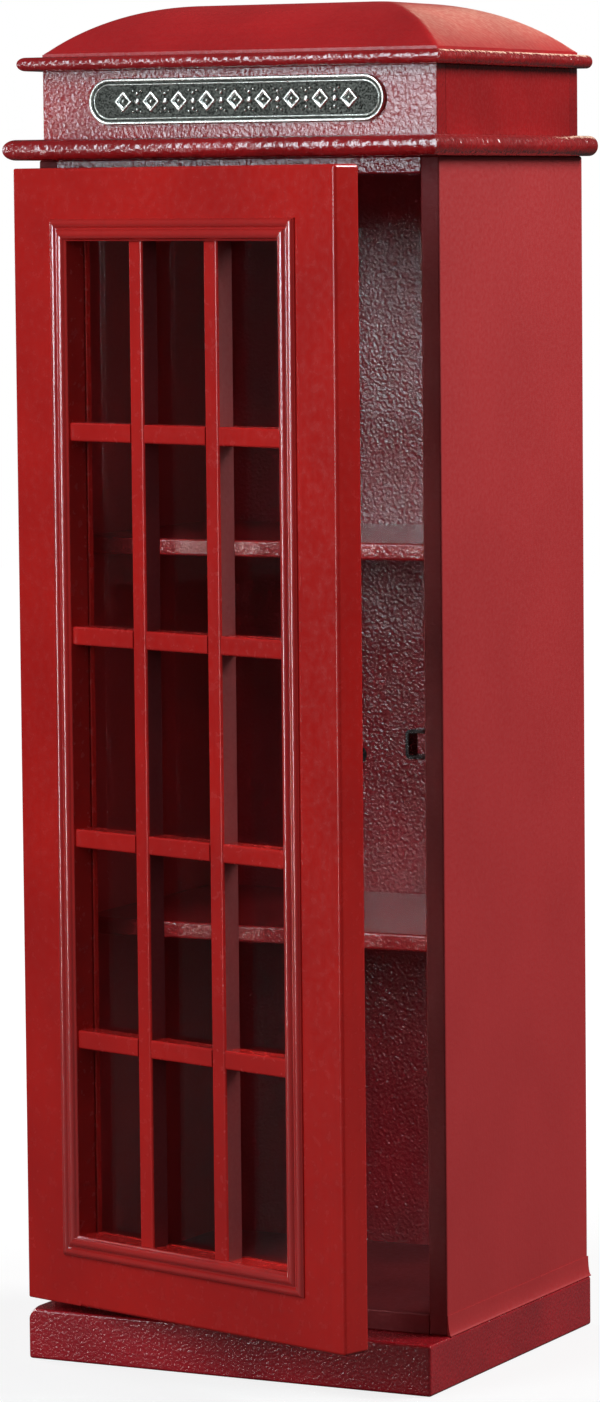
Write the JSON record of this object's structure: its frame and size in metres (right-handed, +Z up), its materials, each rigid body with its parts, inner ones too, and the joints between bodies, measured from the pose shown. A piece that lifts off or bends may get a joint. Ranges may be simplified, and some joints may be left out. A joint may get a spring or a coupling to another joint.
{
  "type": "display cabinet shaped like a telephone box",
  "caption": "Small red wooden display cabinet shaped like a street telephone box, with a glazed hinged door standing ajar and inner shelves.",
  "frame": {"origin": "on the floor, under the middle of the carcass's plan", "axes": "+Z up, +Y towards the flat back, +X to the viewer's right"},
  "size_m": [0.2808, 0.2975, 0.8],
  "materials": {
    "red_paint": "semi-gloss red paint on wood",
    "dark_red_paint": "semi-gloss dark red paint on wood",
    "pewter": "aged pewter-coloured casting with blackened ground",
    "glass": "clear float glass",
    "brass": "satin brass",
    "black_steel": "black lacquered steel strip"
  },
  "bodies": {
    "cabinet": {"plinth_front_bar": "dark_red_paint", "plinth_left_bar": "dark_red_paint", "plinth_right_bar": "dark_red_paint", "plinth_back_bar": "dark_red_paint", "base_panel": "dark_red_paint", "left_cove_strip": "dark_red_paint", "right_cove_strip": "dark_red_paint", "floor_board": "dark_red_paint", "left_side_panel": "red_paint", "right_side_panel": "red_paint", "back_panel": "red_paint", "top_board": "dark_red_paint", "lower_shelf": "dark_red_paint", "upper_shelf": "dark_red_paint", "lower_cornice": "red_paint", "frieze_front": "red_paint", "frieze_back": "red_paint", "frieze_left": "red_paint", "frieze_right": "red_paint", "upper_cornice": "red_paint", "roof": "red_paint", "name_plaque": "pewter", "upper_hinge_carcass_leaf": "brass", "upper_hinge_pin": "brass", "lower_hinge_carcass_leaf": "brass", "lower_hinge_pin": "brass", "hinge_carcass_screws": "brass", "catch_keeper": "black_steel", "catch_keeper_screws": "black_steel"},
    "door": {"door_hinge_stile": "red_paint", "door_free_stile": "red_paint", "door_top_rail": "red_paint", "door_bottom_rail": "red_paint", "moulding_bottom": "red_paint", "moulding_free": "red_paint", "moulding_top": "red_paint", "moulding_hinge": "red_paint", "upright_bar_1": "red_paint", "upright_bar_2": "red_paint", "level_bar_1": "red_paint", "level_bar_2": "red_paint", "level_bar_3": "red_paint", "level_bar_4": "red_paint", "door_glass": "glass", "glazing_bead_bottom": "dark_red_paint", "glazing_bead_top": "dark_red_paint", "glazing_bead_hinge": "dark_red_paint", "glazing_bead_free": "dark_red_paint", "upper_hinge_door_leaf": "brass", "lower_hinge_door_leaf": "brass", "hinge_door_screws": "brass", "catch_strike": "black_steel", "catch_strike_screws": "black_steel"}
  },
  "joints": [
    {"name": "door_hinge", "type": "hinge", "parent": "cabinet", "child": "door", "pos_m": [-0.1324, -0.1004, 0.37], "axis": [0, 0, -1], "range_deg": [-17.2, 162.8]}
  ]
}
